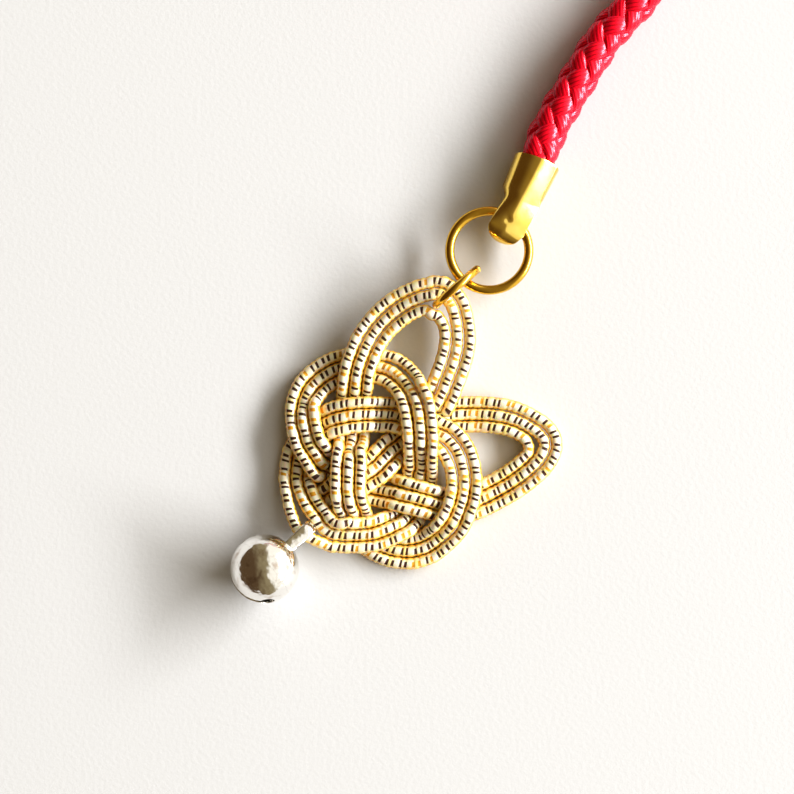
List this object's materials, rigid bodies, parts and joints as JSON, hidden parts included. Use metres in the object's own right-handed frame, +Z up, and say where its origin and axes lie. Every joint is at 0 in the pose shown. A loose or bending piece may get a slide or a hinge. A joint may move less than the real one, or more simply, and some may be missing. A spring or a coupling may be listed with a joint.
{
  "type": "knotted cord charm",
  "caption": "Flat petal knot of wrapped paper cord with a small round bell, hung by gold rings and a folded end cap from a round braided wrist strap.",
  "frame": {"origin": "on the table, under the middle of the charm from the bell to the strap's first cap, without the strap beyond that cap", "axes": "+Z up from the table, +Y towards the top of the picture and +X towards its right"},
  "size_m": [0.0401, 0.0955, 0.0059],
  "materials": {
    "wrapped_cord": "stiff paper cord wound with gold foil and bands of white and lavender film, thin black edges between the bands",
    "gold_plate": "bright gold plate",
    "red_braid": "round braid of fine red yarn",
    "silver_plate": "bright silver plate",
    "steel": "plain steel ball"
  },
  "bodies": {
    "strap": {"cord_end_cap": "gold_plate", "strap_cord": "red_braid", "strap_coil": "red_braid", "far_end_cap": "gold_plate"},
    "far_eye": {"far_ring": "gold_plate"},
    "large_link": {"large_ring": "gold_plate"},
    "small_link": {"small_jump_ring": "gold_plate"},
    "knot": {"knot_strand_outer": "wrapped_cord", "knot_strand_middle": "wrapped_cord", "knot_strand_inner": "wrapped_cord"},
    "bell": {"bell_upper_shell": "silver_plate", "bell_lower_shell": "silver_plate", "bell_ear": "silver_plate"},
    "pellet": {"bell_pellet": "steel"}
  },
  "joints": [
    {"name": "far_ring_swing", "type": "hinge", "parent": "strap", "child": "far_eye", "pos_m": [0.00974, 0.05205, 0.00185], "axis": [0.1736, -0.9848, 0], "range_deg": [0, 70]},
    {"name": "large_ring_swing", "type": "hinge", "parent": "strap", "child": "large_link", "pos_m": [0.0101, 0.01347, 0.00185], "axis": [-0.766, 0.6428, 0], "range_deg": [-60, 60]},
    {"name": "small_ring_swing", "type": "hinge", "parent": "large_link", "child": "small_link", "pos_m": [0.00576, 0.0083, 0.00185], "axis": [-0.766, 0.6428, 0], "range_deg": [-80, 80]},
    {"name": "knot_swing", "type": "hinge", "parent": "small_link", "child": "knot", "pos_m": [0.00339, 0.00624, 0.0023], "axis": [0, 0, 1], "range_deg": [-20, 20]},
    {"name": "bell_swing", "type": "hinge", "parent": "knot", "child": "bell", "pos_m": [-0.00792, -0.01325, 0.00197], "axis": [0.8279, -0.5609, 0], "range_deg": [-75, 75]},
    {"name": "pellet_roll", "type": "hinge", "parent": "bell", "child": "pellet", "pos_m": [-0.01123, -0.01625, 0.00295], "axis": [0.7248, 0.6549, -0.214], "continuous": true}
  ]
}
